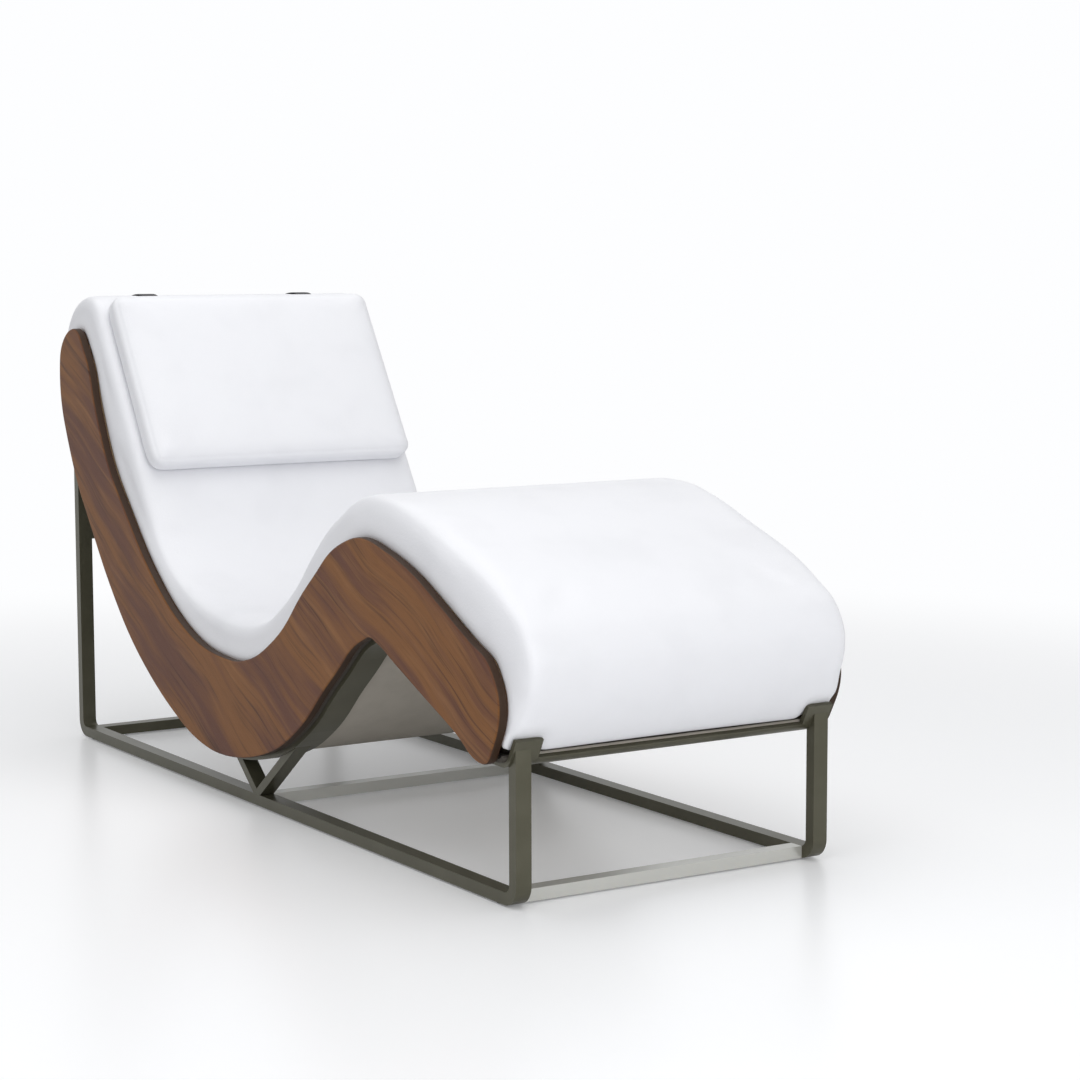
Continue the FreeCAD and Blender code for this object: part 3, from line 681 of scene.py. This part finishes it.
# %% The pad
PAD_WIDTH = 0.623
STRIP_SIDE = (0.2505, 0.2545)
TUCK_SETBACK = 0.009
LIP_BLEND = 0.006
PAD_CELLS = (46, pad_rows - 1, 6)
TOP_RADIUS = 0.024
TOP_RADIUS_SHARE = 0.42
UNDER_RADIUS = 0.004
PAD_INSET = 0.004
INSET_SHARE = 0.08
PAD_PRESSURE = 1.5
PAD_SWELL = 0.0025
HELD_DEPTH = 0.016
RECESS = 0.011
STRAP_PLACE = 0.175
STRAP_WIDTH = 0.036


def rise(value, low, high):
    """0 below low, 1 above high and a smooth rise between them."""
    share = np.clip((value - low) / (high - low), 0, 1)
    return share * share * (3 - 2 * share)


pad_shares, pad_quads = box_cells(PAD_CELLS)
pad_along = pad_shares[:, 1] * pad_run
pad_thick = np.interp(pad_along, np.linspace(0, pad_run, pad_rows), thickness)
pad_deep = pad_shares[:, 2] * pad_thick
lip_run = run_at(LIP)
half_width = PAD_WIDTH / 2
free = 1 - rise(pad_deep, pad_thick - 2 * HELD_DEPTH, pad_thick - HELD_DEPTH)
inset = np.minimum(PAD_INSET, INSET_SHARE * pad_thick)
pad_low = np.column_stack([inset * free - half_width, np.zeros(len(free)), inset])
pad_high = np.column_stack([half_width - inset * free, np.full(len(free), pad_run), pad_thick])
pad_block = np.column_stack([(2 * pad_shares[:, 0] - 1) * half_width, pad_along, pad_deep])
pad_radius = np.where(pad_shares[:, 2] < 0.5, np.minimum(TOP_RADIUS, TOP_RADIUS_SHARE * pad_thick),
                      UNDER_RADIUS)[:, None]
pad_block = rounded(pad_block, pad_low, pad_high, pad_radius)
setback = (TUCK_SETBACK * rise(np.abs(pad_block[:, 0]), *STRIP_SIDE)
           * (1 - rise(pad_along, lip_run - LIP_BLEND, lip_run + LIP_BLEND)))
pad_block[:, 2] += setback * (1 - pad_block[:, 2] / pad_thick)
slack_pad = bent(pad_block, pad_line, pad_run)
pad = new_piece("pad_cover", slack_pad, pad_quads, leather.material)
pad_points = slack_pad + swell(pad, pad_deep > pad_thick - HELD_DEPTH, PAD_PRESSURE, PAD_SWELL)


# %% [markdown]
# The simulation leaves the cover a few millimetres too low, and not equally so everywhere.
# The middle of every row is therefore brought to its real height over the side line, and the rest
# of the row moves with it, so that the soft edges and the small unevenness stay. Under the
# headrest's travel the cover stays just below its line, and under the straps it is pressed in.

# %% The pad's final surface
SWELL_LEFT = 0.0008
CLEAR_OF_HEADREST = 0.0003
STRAP_PRESS = 0.0012
STRAP_FADE = 0.014
STRAPS_FROM = 0.06
TRAVEL_FROM, TRAVEL_FULL = 0.20, 0.02
SIDE_LIMIT = 0.3145
RECESS_LIMIT = 0.3114


def off_the_line(points, along):
    """How far points stand outside the pad's line, and the way outwards there."""
    steps = np.linspace(0, pad_run, pad_rows)
    ways = read_at(along, steps, pad_outward)
    return np.sum((points[:, 1:] - read_at(along, steps, pad_line)) * ways, axis=1), ways


height, ways = off_the_line(pad_points, pad_along)
row = np.round(pad_shares[:, 1] * PAD_CELLS[1]).astype(int)
central = (pad_shares[:, 2] == 0) & (np.abs(pad_points[:, 0]) < PAD_WIDTH / 4)
row_height = (np.bincount(row[central], height[central], pad_rows)
              / np.bincount(row[central], minlength=pad_rows))
lumbar_run, shoulder_run = run_at(LUMBAR), run_at(SHOULDER)
under_headrest = rise(pad_along, lumbar_run - TRAVEL_FROM, lumbar_run - TRAVEL_FULL)
from_strap = np.abs(np.abs(pad_points[:, 0]) - STRAP_PLACE)
under_strap = ((1 - rise(from_strap, STRAP_WIDTH / 2, STRAP_WIDTH / 2 + STRAP_FADE))
               * rise(pad_along, shoulder_run - STRAPS_FROM, shoulder_run))
limit = SWELL_LEFT * (1 - under_headrest) - CLEAR_OF_HEADREST * under_headrest
lifted = height + (limit - row_height[row]) * free
lifted -= np.maximum(lifted - limit + STRAP_PRESS * under_strap, 0) * free
pad_points[:, 1:] += ways * (lifted - height)[:, None]
in_recess = (pad_deep > pad_thick - RECESS) | (pad_along < lip_run)
side_limit = np.where(in_recess, RECESS_LIMIT, SIDE_LIMIT)
pad_points[:, 0] = np.clip(pad_points[:, 0], -side_limit, side_limit)
move_points(pad, pad_points)
soften(pad)
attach(pad, "lounger")
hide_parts("seat_pad")
print("rows stood", row_height.min().round(4), "to", row_height.max().round(4), "m off the line")


# %% [markdown]
# ## The headrest
# The headrest is a boxed cushion: a face panel, a strip round its four sides, and a flat back with
# a thin board in it. It is placed along its slide's slope, read from model.json. It is blown up in
# the same way, with the back pinned, and the seams are pressed in afterwards: one round the face
# panel and one down each corner of the strip.

# %% Headrest
HEADREST_SIZE = np.array([0.578, 0.388, 0.046])
HEADREST_LIFT = 0.0003
HEADREST_RISE = 0.100
HEADREST_CROWN = 0.006
HEADREST_CELLS = (84, 54, 9)
FRONT_RADIUS = np.array([0.028, 0.028, 0.017])
BACK_RADIUS = np.array([0.028, 0.028, 0.010])
HEADREST_INSET = 0.0015
HEADREST_PRESSURE = 3.0
HEADREST_SWELL = 0.002
SEAM_DEPTH = 0.0007
SEAM_REACH = 0.003
SEAM_ENDS = (0.05, 0.3)
BACK_HELD = 0.004
FRONT_FROM = 0.3
CORE_INSET = 0.02
BOW_POWER = 4

outward = np.array([-slope[1], slope[0]])
foot = np.array([LUMBAR[0] - MIDDLE, LUMBAR[1]]) + slope * HEADREST_RISE + outward * HEADREST_LIFT
shares, headrest_quads = box_cells(HEADREST_CELLS)
block_low, block_high = HEADREST_SIZE * [-0.5, 0, 0], HEADREST_SIZE * [0.5, 1, 1]
tuck = HEADREST_INSET * np.array([1, 1, 0])
slack = rounded(block_low + shares * HEADREST_SIZE, block_low + tuck, block_high - tuck,
                np.where(shares[:, 2:] > FRONT_FROM, FRONT_RADIUS, BACK_RADIUS))
bow = np.prod(1 - (2 * shares[:, :2] - 1) ** BOW_POWER, axis=1)
slack[:, 2] += bow * shares[:, 2] * HEADREST_CROWN


def on_backrest(points):
    """Turns (across, up the backrest, off the backrest) into the frame's own directions."""
    side_view = foot + points[:, 1:2] * slope + points[:, 2:] * outward
    return np.column_stack([points[:, 0], side_view])


headrest = new_piece("headrest_cover", on_backrest(slack), headrest_quads, leather.material)
headrest_move = swell(headrest, slack[:, 2] < BACK_HELD, HEADREST_PRESSURE, HEADREST_SWELL)
edge_x = np.minimum(shares[:, 0], 1 - shares[:, 0]) * HEADREST_SIZE[0]
edge_y = np.minimum(shares[:, 1], 1 - shares[:, 1]) * HEADREST_SIZE[1]
from_face = (1 - shares[:, 2]) * HEADREST_SIZE[2] + np.minimum(edge_x, edge_y)
from_corner = edge_x + edge_y
seam = np.maximum(np.exp(-(from_face / SEAM_REACH) ** 2), np.exp(-(from_corner / SEAM_REACH) ** 2)
                  * rise(shares[:, 2], *SEAM_ENDS))
core = np.clip(slack, block_low + CORE_INSET, block_high - CORE_INSET)
inwards = on_backrest(core) - on_backrest(slack)
inwards /= np.linalg.norm(inwards, axis=1)[:, None]
move_points(headrest, on_backrest(slack) + headrest_move + inwards * (seam * SEAM_DEPTH)[:, None])
soften(headrest)
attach(headrest, "headrest")
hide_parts("headrest_cushion")


# %% [markdown]
# ## The straps
# Each strap is one webbing, 36 mm wide and 2 mm thick. It leaves the headrest's top seam, lies over
# the head roll and hangs down to the counterweight, where it goes round the bar and is sewn to
# itself. Its stretches ride on different bodies: the one on the roll stays, the one above the
# headrest and the hanging one stretch between two bodies and here ride on none. The last third of
# the pad's side line, worked out again in finer steps, carries the ones on the roll and above the
# headrest.

# %% Webbing helper
WEB_THICK = 0.002
WEB_GAP = 0.0003
WEB_ROUND = 0.0009
CELLS_ACROSS = 8


def web_strip(name, line, across, rows, outward=None):
    """A flat webbing whose underside follows a side line."""
    run = length_of(line)
    shares, quads = box_cells((CELLS_ACROSS, rows, 2))
    size = np.array([STRAP_WIDTH, run, WEB_THICK])
    points = (shares - [0.5, 0, 1]) * size
    points = rounded(points, size * [-0.5, 0, -1], size * [0.5, 1, 0], WEB_ROUND)
    points = bent(points, line, run, outward) + [across, 0, 0]
    return new_piece(name, points, quads, webbing.material)


# %% Stretches over the roll
FINE_STEP = 0.002
CREST_ROWS = 60
HEAD_FROM = 0.7
sides = {"left": -STRAP_PLACE, "right": STRAP_PLACE}
crest_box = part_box("strap_crest_left")
crest_first, crest_last = float(crest_box[0][1]), float(crest_box[0][2])
fine_line = side_line(pad_marks, FINE_STEP)
head_first = int(len(fine_line) * HEAD_FROM) + 1
head_line, head_outward = fine_line[head_first:], outward_of(fine_line)[head_first:]
on_crest = (head_line[:, 0] > crest_first) & (head_line[:, 1] > crest_last)
crest_line = (head_line + head_outward * WEB_GAP)[on_crest]
for side, across in sides.items():
    strip = web_strip(f"strap_over_roll_{side}", crest_line, across, CREST_ROWS)
    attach(strip, "lounger")
    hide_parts(f"strap_crest_{side}")
print("crest stretch from", crest_line[0].round(4), "to", crest_line[-1].round(4))


# %% Stretches that change length
TAB_ROWS = 48
DROP_ROWS = 70
LOOP_ROWS = 90
TAIL_RISE = 0.034
SEAM_RISE = 0.016
SEAM_LENGTH = 0.003
TAB_SEWN = 0.001
PAST_CREST = 0.01
TAB_ROUNDS = 30
weight_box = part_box("weight_sleeve")
weight_middle = np.array([(weight_box[0][1] + weight_box[1][1]) / 2,
                          (weight_box[0][2] + weight_box[1][2]) / 2])
weight_radius = (weight_box[1][2] - weight_box[0][2]) / 2
lumbar = np.array([LUMBAR[0] - MIDDLE, LUMBAR[1]])
slide_range = next(joint["range_m"][1] for joint in frame["joints"] if joint["child"] == "headrest")


def tab_line():
    """Side line of the webbing from the roll down to the headrest's top seam, with its outward
    ways. It is shaped so that it lies on the backrest's shoulder when the headrest is at its
    lowest: a point that then has come down by its blend weight times the travel stands as far off
    the slope as the pad does there, and the webbing's thickness points the pad's way."""
    first = crest_line[0] - lumbar
    along_first, off_first = first @ slope, first @ outward
    along_last = HEADREST_RISE + HEADREST_SIZE[1] - TAB_SEWN
    off_last = WEB_GAP
    head_along, head_off = (head_line - lumbar) @ slope, (head_line - lumbar) @ outward
    last = int(np.argmax(head_along > along_first + PAST_CREST))
    way = np.array([along_last - along_first, off_last - off_first])
    t = np.linspace(0, 1, TAB_ROWS + 1)
    weight = t * t * (3 - 2 * t)
    off = off_first + t * (off_last - off_first)
    for _ in range(TAB_ROUNDS):
        along = along_first + (t * (way @ way) - (off - off_first) * way[1]) / way[0]
        lowest = along - weight * slide_range
        off = np.interp(lowest, head_along[:last], head_off[:last]) + WEB_GAP
    ways = read_at(lowest, head_along[:last], head_outward[:last])
    return lumbar + along[:, None] * slope + off[:, None] * outward, ways


tab, tab_ways = tab_line()
drop_top = crest_line[-1]
drop_end = np.array([drop_top[0], weight_middle[1] + weight_radius + TAIL_RISE])
loop_radius = weight_radius + WEB_GAP
drop_line = np.linspace(drop_top, drop_end, 30)
print("tab's ends", tab[0].round(4), tab[-1].round(4), "drop", drop_top.round(4), drop_end.round(4))


def loop_line():
    """Side line of the sewn end: down the hanging line, round under the bar and back up behind
    itself. Where it leaves the bar on each side, it runs straight to the seam above."""
    seam_height = weight_radius + SEAM_RISE
    angle = math.acos(loop_radius / seam_height)
    turn = np.linspace(math.pi / 2 - angle, math.pi / 2 + angle - 2 * math.pi, 60)
    ring = weight_middle + loop_radius * np.stack([np.cos(turn), np.sin(turn)], axis=1)
    above = weight_middle + [0, seam_height]
    tail = np.array([above[0], drop_end[1]])
    gap = np.array([WEB_THICK / 2, 0])
    seam_top = above + [0, SEAM_LENGTH]
    return np.vstack([tail + gap, seam_top + gap, ring, seam_top - gap, tail - gap])


for side, across in sides.items():
    strip = web_strip(f"strap_above_headrest_{side}", tab[::-1], across, TAB_ROWS, tab_ways[::-1])
    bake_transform(strip)
    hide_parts(f"strap_tab_{side}")
    strip = web_strip(f"strap_hanging_{side}", drop_line, across, DROP_ROWS)
    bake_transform(strip)
    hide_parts(f"strap_drop_{side}")
    strip = web_strip(f"strap_sewn_end_{side}", loop_line(), across, LOOP_ROWS)
    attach(strip, "counterweight")
    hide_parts(f"strap_loop_{side}")


# %% [markdown]
# ## Room and light
# The lounger stands on a pale floor in soft light from a bright ceiling, from the windows on the
# left and from a wide window beyond the foot end. The world lights it evenly with two fifths of
# full white. Only the camera and reflections see the world fully white and the floor glow, so
# that the background is pale without more light on the lounger.

# %% Floor
FLOOR_HALF = 30
FLOOR_COLOR = (0.88, 0.885, 0.895)
FLOOR_GLOW = 0.13
FLOOR_SHINE = (0.97, 0.98, 1.0, 1)
FADE_FROM, FADE_TO = 1.2, 3.2
WHITE = (0.985, 0.99, 1.0, 1)
MIRRORED_SHARE = 0.8
floor_mesh = bpy.data.meshes.new("floor")
floor_mesh.from_pydata([(x * FLOOR_HALF, y * FLOOR_HALF, 0)
                        for x, y in ((-1, -1), (1, -1), (1, 1), (-1, 1))], [], [(0, 1, 2, 3)])
floor = bpy.data.objects.new("floor", floor_mesh)
scene.collection.objects.link(floor)
floor_finish = Finish("floor", FLOOR_COLOR, 0.30, specular=0.35)
floor_mesh.materials.append(floor_finish.material)


def seen_ray(tree):
    """1 where the camera or a reflection looks, 0 for the rays that carry light."""
    rays = tree.nodes.new("ShaderNodeLightPath")
    camera_ray, glossy_ray, through_ray = (
        Wire(tree, rays.outputs[name])
        for name in ("Is Camera Ray", "Is Glossy Ray", "Is Transmission Ray"))
    mirrored = camera_ray.math("MAXIMUM", camera_ray, glossy_ray * MIRRORED_SHARE)
    return mirrored.math("MAXIMUM", mirrored, through_ray)


tree = floor_finish.tree
seen = seen_ray(tree)
floor_finish.shader.inputs["Emission Color"].default_value = FLOOR_SHINE
floor_finish.set("Emission Strength", seen * FLOOR_GLOW)
far = floor_finish.node("ShaderNodeVectorMath", {"operation": "LENGTH"}, {0: floor_finish.place}, 1)
glow = tree.nodes.new("ShaderNodeEmission")
glow.inputs["Color"].default_value = WHITE
mix = tree.nodes.new("ShaderNodeMixShader")
tree.links.new((far.from_to(FADE_FROM, FADE_TO) * seen).socket, mix.inputs[0])
tree.links.new(floor_finish.shader.outputs[0], mix.inputs[1])
tree.links.new(glow.outputs[0], mix.inputs[2])
tree.links.new(mix.outputs[0], tree.nodes["Material Output"].inputs["Surface"])


# %% Lamps
LAMPS = [("ceiling", (0, 0, 3.2), (0, 0, 0), (3.5, 4.5), 60),
         ("windows", (-3.2, -1.8, 1.8), (0, 0, 0.5), (2.2, 1.6), 20),
         ("far_window", (-0.6, -4.4, 1.6), (0, -0.5, 0.5), (3.0, 2.0), 57)]
for name, place, aim, size, power in LAMPS:
    lamp = bpy.data.lights.new(name, "AREA")
    lamp.shape = "RECTANGLE"
    lamp.size, lamp.size_y = size
    lamp.energy = power
    holder = bpy.data.objects.new(name, lamp)
    holder.location = place
    way = Vector(aim) - Vector(place)
    holder.rotation_euler = way.to_track_quat("-Z", "Y").to_euler()
    scene.collection.objects.link(holder)
print(len(LAMPS), "lamps of", sum(lamp[-1] for lamp in LAMPS), "W together")

# %% World
WORLD_LIGHT = 0.40
world = bpy.data.worlds.new("world")
scene.world = world
world.use_nodes = True
surroundings = world.node_tree.nodes["Background"]
surroundings.inputs["Color"].default_value = WHITE
brightness = seen_ray(world.node_tree) * (1 - WORLD_LIGHT) + WORLD_LIGHT
world.node_tree.links.new(brightness.socket, surroundings.inputs["Strength"])
